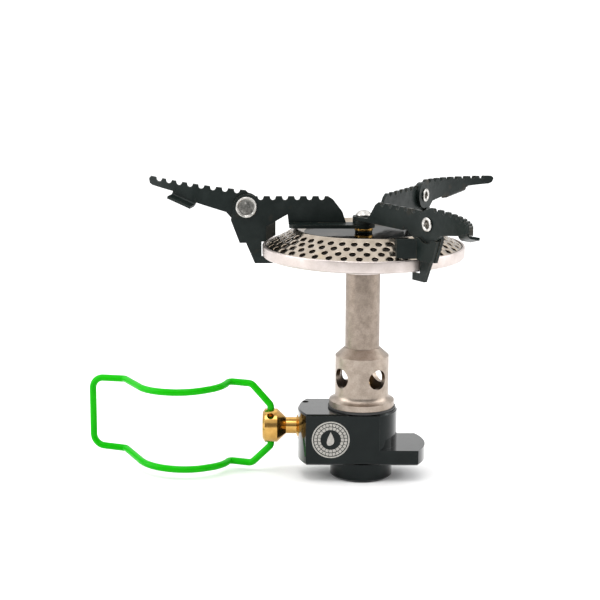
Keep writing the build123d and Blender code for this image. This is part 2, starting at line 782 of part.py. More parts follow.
def blade_rivet(azimuth):
    """Semi-tubular rivet: flat head on the anticlockwise side, rolled tube on the other."""
    arm = arm_plane(azimuth)
    head_n = ARM_FACE + GAP / 2
    tail = 2 * SHEET + 2 * GAP
    with BuildPart() as rivet:
        axis_plane = side_plane(arm, head_n)
        with BuildSketch(axis_plane):
            with Locations((RIVET_S, RIVET_Z)):
                Circle(RIVET_R)
        extrude(amount=tail)
        with BuildSketch(axis_plane):
            with Locations((RIVET_S, RIVET_Z)):
                Circle(RIVET_HEAD_R)
        extrude(amount=-0.85)
        chamfer(rivet.edges().filter_by(GeomType.CIRCLE).group_by(SortBy.RADIUS)[-1], length=0.2)
        with BuildSketch(axis_plane.offset(tail)):
            with Locations((RIVET_S, RIVET_Z)):
                Circle(RIVET_TAIL_R)
        extrude(amount=0.5)
        with BuildSketch(axis_plane.offset(tail + 0.5)):
            with Locations((RIVET_S, RIVET_Z)):
                Circle(1.0)
        extrude(amount=-1.8, mode=Mode.SUBTRACT)
    return rivet.part


for side, azimuth in ARM_AZIMUTH.items():
    eye_z = EYE_Z0 + EYE_LEVEL[side] * (SHEET + GAP)
    save(support_arm(azimuth, eye_z), f"support_arm_{side}")
    save(blade(azimuth, BLADE_RAISE[side]), f"support_blade_{side}")
    save(blade_rivet(azimuth), f"blade_rivet_{side}")
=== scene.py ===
"""Folding canister camping stove: the finished visual model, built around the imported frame."""

import json
import logging
import math
from collections.abc import Callable, Iterable, Sequence
from dataclasses import dataclass, field
from enum import Enum

import bmesh
import bpy
from mathutils import Matrix, Vector

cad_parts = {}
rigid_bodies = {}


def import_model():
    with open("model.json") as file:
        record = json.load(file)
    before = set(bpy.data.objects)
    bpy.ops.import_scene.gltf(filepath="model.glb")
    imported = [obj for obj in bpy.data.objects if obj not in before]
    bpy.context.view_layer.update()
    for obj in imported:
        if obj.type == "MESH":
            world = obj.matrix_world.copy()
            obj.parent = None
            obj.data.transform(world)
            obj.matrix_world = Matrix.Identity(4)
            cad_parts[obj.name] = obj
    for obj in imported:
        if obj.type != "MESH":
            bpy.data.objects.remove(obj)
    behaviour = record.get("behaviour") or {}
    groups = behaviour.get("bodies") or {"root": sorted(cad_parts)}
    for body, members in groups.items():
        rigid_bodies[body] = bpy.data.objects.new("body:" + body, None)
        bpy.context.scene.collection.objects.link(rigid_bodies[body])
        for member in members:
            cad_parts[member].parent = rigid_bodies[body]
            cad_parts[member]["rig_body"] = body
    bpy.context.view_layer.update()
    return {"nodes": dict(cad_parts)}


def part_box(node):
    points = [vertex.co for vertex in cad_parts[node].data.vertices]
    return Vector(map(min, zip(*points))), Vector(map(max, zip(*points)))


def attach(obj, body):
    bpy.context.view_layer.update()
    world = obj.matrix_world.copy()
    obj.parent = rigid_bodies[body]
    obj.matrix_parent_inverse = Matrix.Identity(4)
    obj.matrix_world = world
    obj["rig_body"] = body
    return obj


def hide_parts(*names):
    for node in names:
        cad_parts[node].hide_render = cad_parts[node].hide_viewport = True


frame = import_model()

log = logging.getLogger("stove")

MM = 0.001
WELD = 1e-6  # metres within which loose corners are one point
FLAT = math.radians(0.5)  # turn below which two faces are one
CORNER = math.radians(28)  # turn above which an edge is eased
NOISE_RANGE = (0.3, 0.7)  # what nearly all of a noise lies between
BEND_STEPS = 18  # straight steps round each bend of the wire
THREAD_STEPS = 72  # steps in each turn of a thread
Point = tuple[float, float]
Colour = tuple[float, float, float]
Socket = bpy.types.NodeSocket


class SpinAxis(Enum):
    """Axis that a turned or pressed piece was spun about."""

    BURNER = "the upright axis of the burner"
    SPINDLE = "the level axis of the valve spindle"


class Side(Enum):
    """The three pot supports, by where they stand."""

    LEFT = "left"
    BACK = "back"
    FRONT = "front"


# ------------------------------------------------------------------ finishes
class Wiring:
    """A node tree, with a short call that adds a node and joins it to the others."""

    def __init__(self, tree: bpy.types.NodeTree) -> None:
        """Take a tree to fill."""
        self.nodes = tree.nodes
        self.links = tree.links

    def add(self, kind: str, joins: dict, out: str | int | None = 0, **settings) -> Socket | None:
        """Add a node, fill its inputs and return one of its outputs.

        Args:
            kind: Blender's name of the node type.
            joins: Input name or index, to a constant or to the socket that feeds it.
            out: Name or index of the output wanted, or None where the node has none.
            **settings: Properties of the node itself.

        Returns:
            The chosen output socket.
        """
        node = self.nodes.new(kind)
        for key, value in settings.items():
            setattr(node, key, value)
        for key, value in joins.items():
            if isinstance(value, Socket):
                self.links.new(value, node.inputs[key])
            else:
                node.inputs[key].default_value = value
        return None if out is None else node.outputs[out]


class Board(Wiring):
    """A material's node tree, with its shader and its object coordinates."""

    def __init__(self, name: str) -> None:
        """Start a material.

        Args:
            name: Name of the material.
        """
        self.material = bpy.data.materials.new(name)
        self.material.use_nodes = True
        self.material.node_tree.nodes.clear()
        super().__init__(self.material.node_tree)
        self.shader = self.nodes.new("ShaderNodeBsdfPrincipled")
        self.add("ShaderNodeOutputMaterial", {"Surface": self.shader.outputs["BSDF"]}, None)
        self.place = self.nodes.new("ShaderNodeTexCoord").outputs["Object"]

    def noise(self, size: float, detail: float = 3.0, along: Socket | None = None) -> Socket:
        """Noise whose lumps are about size metres across, from 0 to 1."""
        joins = {"Vector": along or self.place, "Scale": 1.0 / size, "Detail": detail}
        return self.add("ShaderNodeTexNoise", joins)

    def spread(self, value: Socket, low: float, high: float, to_low: float = 0, to_high: float = 1) -> Socket:
        """Stretch the part of value between low and high over to_low to to_high, clamped."""
        joins = {"Value": value, "From Min": low, "From Max": high, "To Min": to_low, "To Max": to_high}
        return self.add("ShaderNodeMapRange", joins)

    def sum(self, operation: str, *values: Socket | float) -> Socket:
        """Combine numbers with one of Blender's math operations."""
        return self.add("ShaderNodeMath", dict(enumerate(values)), operation=operation)

    def blend(self, factor: Socket, first: Socket | Colour, second: Socket | Colour) -> Socket:
        """Mix two colours, each a socket or an RGB triple."""
        joins = {"Factor": factor, 6: self.rgba(first), 7: self.rgba(second)}
        return self.add("ShaderNodeMix", joins, out=2, data_type="RGBA")

    @staticmethod
    def rgba(colour: Socket | Colour) -> Socket | tuple[float, ...]:
        """Give an RGB triple its alpha, and leave a socket alone."""
        return colour if isinstance(colour, Socket) else (*colour, 1.0)

    def turned(self, axis: SpinAxis) -> Socket:
        """Coordinates that change only outwards and along the axis that a piece was spun about.

        Args:
            axis: The axis that it was spun about.

        Returns:
            A vector of the distance from the axis and the place along it.
        """
        parts = self.nodes.new("ShaderNodeSeparateXYZ")
        centre = (0.0, 0.0, 0.0) if axis is SpinAxis.BURNER else (0.0, 0.0, -ValveBody.axis_z)
        shifted = self.add("ShaderNodeVectorMath", {0: self.place, 1: centre}, operation="ADD")
        self.links.new(shifted, parts.inputs[0])
        x, y, z = parts.outputs
        across, along = ((x, y), z) if axis is SpinAxis.BURNER else ((z, y), x)
        squares = [self.sum("MULTIPLY", value, value) for value in across]
        radius = self.sum("SQRT", self.sum("ADD", *squares))
        return self.add("ShaderNodeCombineXYZ", {0: radius, 1: along})

    def bump(self, height: Socket, depth: float, under: Socket | None = None) -> Socket:
        """Turn a height from 0 to 1 into a normal, depth metres deep, over another normal.

        Args:
            height: The height of the surface.
            depth: How deep its full range is, in metres.
            under: A normal that it lies over, if any.

        Returns:
            The bent normal.
        """
        joins = {"Height": height, "Strength": 1.0, "Distance": depth}
        if under is not None:
            joins["Normal"] = under
        return self.add("ShaderNodeBump", joins)


@dataclass(frozen=True)
class Finish:
    """A metal, paint or rubber surface, with its mottle, grain, tool marks, stains and painted sheen."""

    name: str
    colour: Colour
    mottle: Colour
    mottle_size: float = 5 * MM
    mottle_share: tuple[float, float] = (0.35, 0.65)
    metallic: float = 1.0
    rough: tuple[float, float] = (0.25, 0.4)
    grain_size: float = 0.35 * MM
    grain_depth: float = 0.006 * MM
    grain_shade: float = 0.0
    line_pitch: float = 0.0
    line_depth: float = 0.0
    axis: SpinAxis = SpinAxis.BURNER
    # patches of a second colour: real stains on some finishes, painted reflection patches on the well and the
    # rivet dish
    stain_and_sheen: Colour | None = None
    stain_and_sheen_size: float = 9 * MM
    stain_and_sheen_share: tuple[float, float] = (0.58, 0.75)
    specular: float = 0.5
    edge_tint: float = 1.0  # share of the light reflected at a grazing angle that is kept
    coat: float = 0.0
    coat_ior: float = 1.5
    coat_rough: float = 0.08

    def make(self) -> bpy.types.Material:
        """Build the finish as a node material.

        Returns:
            The material, which reads only object coordinates.
        """
        board = Board(self.name)
        patches = board.spread(board.noise(self.mottle_size, 4.0), *self.mottle_share)
        grain = board.noise(self.grain_size, 2.0)
        colour = board.blend(patches, self.colour, self.mottle)
        if self.grain_shade:
            shade = board.spread(grain, *NOISE_RANGE, 1.0 - self.grain_shade, 1.0 + self.grain_shade)
            grey = board.add("ShaderNodeCombineColor", {0: shade, 1: shade, 2: shade})
            joins = {"Factor": 1.0, 6: colour, 7: grey}
            colour = board.add("ShaderNodeMix", joins, out=2, data_type="RGBA", blend_type="MULTIPLY")
        if self.stain_and_sheen is not None:
            stain_and_sheen_mask = board.spread(board.noise(self.stain_and_sheen_size, 3.0), *self.stain_and_sheen_share)
            colour = board.blend(stain_and_sheen_mask, colour, self.stain_and_sheen)
        normal = board.bump(grain, self.grain_depth)
        rough_from = board.noise(self.mottle_size * 0.4, 4.0)
        if self.line_pitch:
            lines = board.noise(self.line_pitch, 2.0, board.turned(self.axis))
            normal = board.bump(lines, self.line_depth, normal)
            rough_from = board.sum("MULTIPLY", board.sum("ADD", rough_from, lines), 0.5)
        shader = board.shader
        board.links.new(colour, shader.inputs["Base Color"])
        rough = board.spread(rough_from, *NOISE_RANGE, *self.rough)
        board.links.new(rough, shader.inputs["Roughness"])
        board.links.new(normal, shader.inputs["Normal"])
        shader.inputs["Metallic"].default_value = self.metallic
        shader.inputs["Specular IOR Level"].default_value = self.specular
        shader.inputs["Specular Tint"].default_value = (self.edge_tint,) * 3 + (1.0,)
        shader.inputs["Coat Weight"].default_value = self.coat
        shader.inputs["Coat Roughness"].default_value = self.coat_rough
        shader.inputs["Coat IOR"].default_value = self.coat_ior
        return board.material


class Finishes:
    """Every surface of the stove, made once and shared by its pieces."""

    def __init__(self) -> None:
        """Make the materials."""
        self.anodised = Finish(
            name="black_anodised",
            colour=(0.0012, 0.0036, 0.0036),
            mottle=(0.0030, 0.0058, 0.0056),
            rough=(0.14, 0.22),
            grain_size=0.5 * MM,
            grain_depth=0.003 * MM,
            coat=0.85,
            coat_ior=1.3,
        ).make()
        self.anodised_edge = Finish(
            name="anodised_edge",
            colour=(0.05, 0.056, 0.056),
            mottle=(0.018, 0.023, 0.024),
            mottle_size=2 * MM,
            metallic=0.4,
            rough=(0.25, 0.4),
        ).make()
        self.blackened = Finish(
            name="blackened_steel",
            colour=(0.0048, 0.0090, 0.0080),
            mottle=(0.0100, 0.0150, 0.0138),
            mottle_size=4 * MM,
            metallic=0.0,
            rough=(0.30, 0.46),
            grain_size=0.3 * MM,
            grain_depth=0.006 * MM,
            grain_shade=0.12,
            stain_and_sheen=(0.050, 0.034, 0.020),
            stain_and_sheen_share=(0.62, 0.82),
            specular=0.16,
        ).make()
        # brown-gold colour on the eased edges of the supports: a painted edge highlight
        self.blackened_edge_highlight = Finish(
            name="blackened_edge_highlight",
            colour=(0.16, 0.125, 0.085),
            mottle=(0.022, 0.025, 0.023),
            mottle_size=1.6 * MM,
            mottle_share=(0.42, 0.60),
            metallic=0.6,
            rough=(0.3, 0.45),
        ).make()
        self.pressed = Finish(
            name="bright_pressed_steel",
            colour=(0.41, 0.355, 0.295),
            mottle=(0.30, 0.255, 0.205),
            mottle_size=3 * MM,
            rough=(0.12, 0.26),
            grain_size=0.6 * MM,
            grain_depth=0.003 * MM,
            stain_and_sheen=(0.50, 0.41, 0.29),
            stain_and_sheen_size=5 * MM,
            stain_and_sheen_share=(0.60, 0.85),
        ).make()
        # the well's polished steel: its dark base colour, darker mottle and lighter patches are a painted
        # dark reflection of the arms above
        self.mirror = Finish(
            name="polished_well_painted_reflection",
            colour=(0.115, 0.118, 0.112),
            mottle=(0.075, 0.078, 0.072),
            mottle_size=4 * MM,
            rough=(0.04, 0.10),
            grain_size=0.8 * MM,
            grain_depth=0.003 * MM,
            stain_and_sheen=(0.20, 0.18, 0.15),
            stain_and_sheen_size=6 * MM,
            stain_and_sheen_share=(0.55, 0.8),
            edge_tint=0.5,
        ).make()
        # darker steel for the bowl's inner wall and floor
        self.dark_inner = Finish(
            name="dark_inner_steel",
            colour=(0.055, 0.045, 0.035),
            mottle=(0.09, 0.07, 0.05),
            mottle_size=3 * MM,
            rough=(0.5, 0.7),
            stain_and_sheen=(0.03, 0.026, 0.024),
        ).make()
        self.banded = Finish(
            name="satin_rim_steel",
            colour=(0.615, 0.550, 0.525),
            mottle=(0.52, 0.46, 0.43),
            mottle_size=4 * MM,
            rough=(0.30, 0.44),
            grain_size=0.4 * MM,
            grain_depth=0.004 * MM,
            grain_shade=0.04,
            line_pitch=0.22 * MM,
            line_depth=0.004 * MM,
        ).make()
        self.turned = Finish(
            name="turned_steel",
            colour=(0.39, 0.328, 0.276),
            mottle=(0.30, 0.248, 0.205),
            mottle_size=2.2 * MM,
            rough=(0.28, 0.42),
            grain_size=0.35 * MM,
            grain_depth=0.010 * MM,
            grain_shade=0.10,
            line_pitch=0.25 * MM,
            line_depth=0.006 * MM,
        ).make()
        self.drawn = Finish(
            name="drawn_tube_steel",
            colour=(0.305, 0.252, 0.210),
            mottle=(0.235, 0.190, 0.155),
            mottle_size=1.8 * MM,
            rough=(0.30, 0.44),
            grain_size=0.3 * MM,
            grain_depth=0.010 * MM,
            grain_shade=0.12,
        ).make()
        self.brass = self.turned_brass("turned_brass", SpinAxis.SPINDLE)
        self.burner_brass = self.turned_brass("upright_brass", SpinAxis.BURNER)
        self.green = Finish(
            name="green_powder_coat",
            colour=(0.003, 0.385, 0.0),
            mottle=(0.008, 0.425, 0.001),
            mottle_size=8 * MM,
            metallic=0.0,
            rough=(0.18, 0.26),
            grain_size=0.8 * MM,
            grain_depth=0.004 * MM,
            specular=0.09,
        ).make()
        self.rivet = Finish(
            name="rivet_steel",
            colour=(0.62, 0.60, 0.57),
            mottle=(0.40, 0.39, 0.37),
            mottle_size=1.2 * MM,
            rough=(0.16, 0.30),
            grain_size=0.3 * MM,
            grain_depth=0.012 * MM,
        ).make()
        # the rivet head's dished centre: a dark grey base with lighter patches, a painted dark reflection
        # with painted glints
        self.dish = Finish(
            name="rivet_dish_painted_reflection",
            colour=(0.20, 0.195, 0.18),
            mottle=(0.07, 0.07, 0.066),
            mottle_size=1.0 * MM,
            rough=(0.30, 0.45),
            grain_size=0.3 * MM,
            grain_depth=0.02 * MM,
            stain_and_sheen=(0.42, 0.41, 0.39),
            stain_and_sheen_size=1.4 * MM,
            stain_and_sheen_share=(0.60, 0.72),
        ).make()
        self.rubber = Finish(
            name="seal_rubber",
            colour=(0.012, 0.012, 0.012),
            mottle=(0.02, 0.02, 0.02),
            metallic=0.0,
            rough=(0.45, 0.6),
        ).make()
        self.bronze = Finish(
            name="sintered_bronze",
            colour=(0.42, 0.26, 0.11),
            mottle=(0.20, 0.12, 0.05),
            mottle_size=0.3 * MM,
            rough=(0.5, 0.7),
            grain_depth=0.05 * MM,
        ).make()
        self.etched = Finish(
            name="etched_mark",
            colour=(0.46, 0.44, 0.41),
            mottle=(0.38, 0.37, 0.34),
            mottle_size=1.0 * MM,
            metallic=0.3,
            rough=(0.45, 0.6),
            grain_shade=0.08,
        ).make()

    @staticmethod
    def turned_brass(name: str, axis: SpinAxis) -> bpy.types.Material:
        """Polished brass with the fine marks of the lathe, spun about an axis.

        Args:
            name: Name of the material.
            axis: The axis that the piece was turned about.

        Returns:
            The material.
        """
        return Finish(
            name=name,
            colour=(0.60, 0.36, 0.105),
            mottle=(0.50, 0.285, 0.075),
            mottle_size=2 * MM,
            rough=(0.14, 0.26),
            grain_depth=0.003 * MM,
            line_pitch=0.2 * MM,
            line_depth=0.005 * MM,
            axis=axis,
        ).make()


# ------------------------------------------------------------------ mesh work
def new_piece(name: str, mesh: bpy.types.Mesh, *finishes: bpy.types.Material) -> bpy.types.Object:
    """Put a mesh in the scene as an object at the origin.

    Args:
        name: Name of the piece.
        mesh: Its mesh, already in place.
        *finishes: Materials for its slots; a mesh that has its own keeps them where none is given.

    Returns:
        The new object.
    """
    mesh.name = name
    piece = bpy.data.objects.new(name, mesh)
    bpy.context.scene.collection.objects.link(piece)
    if finishes:
        mesh.materials.clear()
        for finish in finishes:
            mesh.materials.append(finish)
    return piece


def settle(piece: bpy.types.Object) -> bpy.types.Object:
    """Turn a piece's modifiers into plain mesh and remove them.

    Args:
        piece: The object with its modifiers.

    Returns:
        The same object, holding the evaluated mesh.
    """
    bpy.context.view_layer.update()
    graph = bpy.context.evaluated_depsgraph_get()
    made = bpy.data.meshes.new_from_object(piece.evaluated_get(graph), depsgraph=graph)
    piece.modifiers.clear()
    piece.data = made
    made.name = piece.name
    return piece


def as_mesh(shape: bmesh.types.BMesh, name: str) -> bpy.types.Mesh:
    """Turn a shape under edit into a mesh, and free it.

    Args:
        shape: The shape, which is of no use afterwards.
        name: Name of the mesh.

    Returns:
        The mesh.
    """
    mesh = bpy.data.meshes.new(name)
    shape.to_mesh(mesh)
    shape.free()
    return mesh


def polar(radius: float, angle: float, height: float) -> tuple[float, float, float]:
    """Place a point by its radius and height in millimetres and its angle in radians."""
    return radius * MM * math.cos(angle), radius * MM * math.sin(angle), height * MM


def spin(outline: Sequence[Point], segments: int, closed: bool) -> bmesh.types.BMesh:
    """Spin a line of (radius, height) in millimetres about the upright axis.

    Args:
        outline: Corners of the cross-section, in order.
        segments: Steps round the circle.
        closed: Whether the last corner joins the first.

    Returns:
        A shape still under edit, with points on the axis shared.
    """
    shape = bmesh.new()
    rings = []
    for radius, height in outline:
        if radius < WELD:
            rings.append([shape.verts.new((0, 0, height * MM))] * segments)
            continue
        places = [polar(radius, math.tau * k / segments, height) for k in range(segments)]
        rings.append([shape.verts.new(place) for place in places])
    for first, second in zip(rings, rings[1:] + rings[: int(closed)]):
        for k in range(segments):
            after = (k + 1) % segments
            corners = list(dict.fromkeys((first[k], first[after], second[after], second[k])))
            if len(corners) > 2:
                shape.faces.new(corners)
    return shape


def lathe(outline: Sequence[Point], segments: int = 192) -> bpy.types.Mesh:
    """Spin a closed outline, in millimetres, into a closed smooth mesh.

    Args:
        outline: (radius, height) of each corner, in order round the cross-section.
        segments: Steps round the circle.

    Returns:
        The mesh, with its faces turned outwards.
    """
    shape = spin(outline, segments, closed=True)
    bmesh.ops.recalc_face_normals(shape, faces=shape.faces)
    return shaded(as_mesh(shape, "lathe"))


def shaded(mesh: bpy.types.Mesh, angle: float = 32.0) -> bpy.types.Mesh:
    """Shade a mesh smooth, with a hard line at edges sharper than angle degrees.

    Args:
        mesh: The mesh, which is changed.
        angle: The sharpest turn, in degrees, that still looks round.

    Returns:
        The same mesh.
    """
    mesh.shade_smooth()
    mesh.set_sharp_from_angle(angle=math.radians(angle))
    return mesh


def rounded(corners: Sequence[tuple[float, float, float]], steps: int = 6) -> list[Point]:
    """Round the corners of a closed outline.

    Args:
        corners: (x, y, radius) of each corner, in order round the outline.
        steps: Points along each arc.

    Returns:
        The outline's points, with an arc in place of each corner that has a radius.
    """
    points = []
    count = len(corners)
    for index, (x, y, radius) in enumerate(corners):
        here = Vector((x, y))
        if radius <= 0:
            points.append((x, y))
            continue
        before = Vector(corners[index - 1][:2]) - here
        after = Vector(corners[(index + 1) % count][:2]) - here
        half = before.angle(after) / 2
        run = min(radius / math.tan(half), 0.49 * before.length, 0.49 * after.length)
        real = run * math.tan(half)
        middle = here + (before.normalized() + after.normalized()).normalized() * (real / math.sin(half))
        start = here + before.normalized() * run - middle
        turn = start.angle_signed(here + after.normalized() * run - middle)
        for step in range(steps + 1):
            arm = start.copy()
            arm.rotate(Matrix.Rotation(-turn * step / steps, 2))
            points.append(tuple(middle + arm))
    return points


def eased_copy(node: str, name: str, width: float, *finishes: bpy.types.Material) -> bpy.types.Object:
    """Copy a CAD node, ease its sharp edges and stand the copy in for it.

    Args:
        node: Name of the CAD node.
        name: Name of the finished piece.
        width: Width of the eased edge, in metres.
        *finishes: Its finish, then if wanted another one for the eased edges.

    Returns:
        The finished piece, riding on the node's body.
    """
    shape = bmesh.new()
    shape.from_mesh(frame["nodes"][node].data)
    bmesh.ops.remove_doubles(shape, verts=shape.verts, dist=WELD)
    bmesh.ops.dissolve_limit(shape, angle_limit=FLAT, verts=shape.verts, edges=shape.edges)
    mesh = as_mesh(shape, name)
    if "custom_normal" in mesh.attributes:
        mesh.attributes.remove(mesh.attributes["custom_normal"])
    mesh.shade_smooth()
    piece = new_piece(name, mesh, *finishes)
    for polygon in mesh.polygons:
        polygon.material_index = 0
    ease = piece.modifiers.new("ease", "BEVEL")
    ease.width = width
    ease.segments = 2
    ease.limit_method = "ANGLE"
    ease.angle_limit = CORNER
    ease.harden_normals = True
    if len(finishes) > 1:
        ease.material = 1
    settle(piece)
    return stand_in(piece, node)


def stand_in(piece: bpy.types.Object, node: str) -> bpy.types.Object:
    """Let a piece stand for a CAD node, on its body.

    Args:
        piece: The finished piece.
        node: Name of the CAD node that it replaces.

    Returns:
        The same piece.
    """
    body = frame["nodes"][node]["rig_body"]
    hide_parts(node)
    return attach(piece, body)


def levels(node: str) -> tuple[float, float]:
    """Lowest and highest level of a CAD node, in millimetres."""
    low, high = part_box(node)
    return low.z / MM, high.z / MM


def zone(piece: bpy.types.Object, finish: bpy.types.Material, inside: Callable[[Vector], bool]) -> None:
    """Give part of a piece a second finish.

    Args:
        piece: The piece, with one finish so far.
        finish: The finish of the zone.
        inside: Says of a face's centre, in metres, whether it's in the zone.
    """
    piece.data.materials.append(finish)
    for polygon in piece.data.polygons:
        if inside(polygon.center):
            polygon.material_index = len(piece.data.materials) - 1


def dress(node: str, finish: bpy.types.Material) -> None:
    """Give a CAD node that keeps its mesh a better material.

    Args:
        node: Name of the CAD node.
        finish: Its new material.
    """
    mesh = frame["nodes"][node].data
    mesh.materials.clear()
    mesh.materials.append(finish)


# ------------------------------------------------------------------ geometry node trees
class Grower(Wiring):
    """A Geometry Nodes tree with named inputs, which turns a seed mesh into a finished one."""

    def __init__(self, name: str, inputs: dict[str, str]) -> None:
        """Start the tree.

        Args:
            name: Name of the tree.
            inputs: Name of each input after the geometry, to its socket type.
        """
        self.tree = bpy.data.node_groups.new(name, "GeometryNodeTree")
        super().__init__(self.tree)
        face = self.tree.interface
        face.new_socket("Geometry", in_out="INPUT", socket_type="NodeSocketGeometry")
        face.new_socket("Geometry", in_out="OUTPUT", socket_type="NodeSocketGeometry")
        self.keys = {}
        for label, kind in inputs.items():
            self.keys[label] = face.new_socket(label, in_out="INPUT", socket_type=kind).identifier
        self.given = self.nodes.new("NodeGroupInput").outputs

    def end(self, geometry: Socket) -> None:
        """Finish the tree: real mesh, its finish, and the output.

        Args:
            geometry: What the tree has made.
        """
        real = self.add("GeometryNodeRealizeInstances", {"Geometry": geometry})
        dressed = self.add("GeometryNodeSetMaterial", {"Geometry": real, "Material": self.given["Finish"]})
        self.add("NodeGroupOutput", {0: dressed}, None)

    def grow(self, name: str, seed: bpy.types.Mesh, **values) -> bpy.types.Object:
        """Run the tree on a seed mesh and keep the plain result.

        Args:
            name: Name of the piece.
            seed: The mesh that the tree starts from.
            **values: The tree's inputs, by name with underscores for spaces.

        Returns:
            A plain mesh object, without the modifier.
        """
        piece = new_piece(name, seed)
        modifier = piece.modifiers.new(name, "NODES")
        modifier.node_group = self.tree
        for label, value in values.items():
            modifier[self.keys[label.replace("_", " ")]] = value
        return settle(piece)


def ring_grower() -> Grower:
    """Tree that repeats its seed round the upright axis and welds the copies together.

    Returns:
        The tree, with inputs Count, Start (an angle in radians) and Finish.
    """
    inputs = {"Count": "NodeSocketInt", "Start": "NodeSocketFloat", "Finish": "NodeSocketMaterial"}
    tree = Grower("repeat_round_axis", inputs)
    line = {"Count": tree.given["Count"], "Offset": (0, 0, 0)}
    points = tree.add("GeometryNodeMeshLine", line)
    index = tree.add("GeometryNodeInputIndex", {})
    step = tree.add("ShaderNodeMath", {0: math.tau, 1: tree.given["Count"]}, operation="DIVIDE")
    turned = tree.add("ShaderNodeMath", {0: index, 1: step, 2: tree.given["Start"]}, operation="MULTIPLY_ADD")
    rotation = tree.add("ShaderNodeCombineXYZ", {2: turned})
    joins = {"Points": points, "Instance": tree.given["Geometry"], "Rotation": rotation}
    copies = tree.add("GeometryNodeInstanceOnPoints", joins)
    real = tree.add("GeometryNodeRealizeInstances", {"Geometry": copies})
    welded = tree.add("GeometryNodeMergeByDistance", {"Geometry": real, "Distance": 4 * WELD})
    tree.end(welded)
    return tree


def wire_grower() -> Grower:
    """Tree that rounds the corners of a path by its own bend radii and draws wire along it.

    Returns:
        The tree, with inputs Wire Radius, Sides and Finish.
    """
    inputs = {"Wire Radius": "NodeSocketFloat", "Sides": "NodeSocketInt", "Finish": "NodeSocketMaterial"}
    tree = Grower("bent_wire", inputs)
    path = tree.add("GeometryNodeMeshToCurve", {"Mesh": tree.given["Geometry"]})
    bend = tree.add("GeometryNodeInputNamedAttribute", {"Name": "bend"}, data_type="FLOAT")
    joins = {"Curve": path, "Radius": bend, "Count": BEND_STEPS, "Limit Radius": True}
    fillet = tree.add("GeometryNodeFilletCurve", joins, mode="POLY")
    circle = {"Resolution": tree.given["Sides"], "Radius": tree.given["Wire Radius"]}
    profile = tree.add("GeometryNodeCurvePrimitiveCircle", circle)
    joins = {"Curve": fillet, "Profile Curve": profile, "Fill Caps": True}
    tree.end(tree.add("GeometryNodeCurveToMesh", joins))
    return tree


def thread_grower() -> Grower:
    """Tree that winds a ridge of diamond section up the wall of a bore.

    Returns:
        The tree, with inputs Turns, Bore Radius, Height, Ridge and Finish.
    """
    inputs = {
        "Turns": "NodeSocketFloat",
        "Bore Radius": "NodeSocketFloat",
        "Height": "NodeSocketFloat",
        "Ridge": "NodeSocketFloat",
        "Finish": "NodeSocketMaterial",
    }
    tree = Grower("screw_thread", inputs)
    spiral = {
        "Resolution": THREAD_STEPS,
        "Rotations": tree.given["Turns"],
        "Start Radius": tree.given["Bore Radius"],
        "End Radius": tree.given["Bore Radius"],
        "Height": tree.given["Height"],
    }
    helix = tree.add("GeometryNodeCurveSpiral", spiral)
    profile = tree.add("GeometryNodeCurvePrimitiveCircle", {"Resolution": 4, "Radius": tree.given["Ridge"]})
    joins = {"Curve": helix, "Profile Curve": profile, "Fill Caps": True}
    ridge = tree.add("GeometryNodeCurveToMesh", joins)
    both = tree.nodes.new("GeometryNodeJoinGeometry")
    tree.links.new(ridge, both.inputs[0])
    tree.links.new(tree.given["Geometry"], both.inputs[0])
    tree.end(both.outputs[0])
    return tree


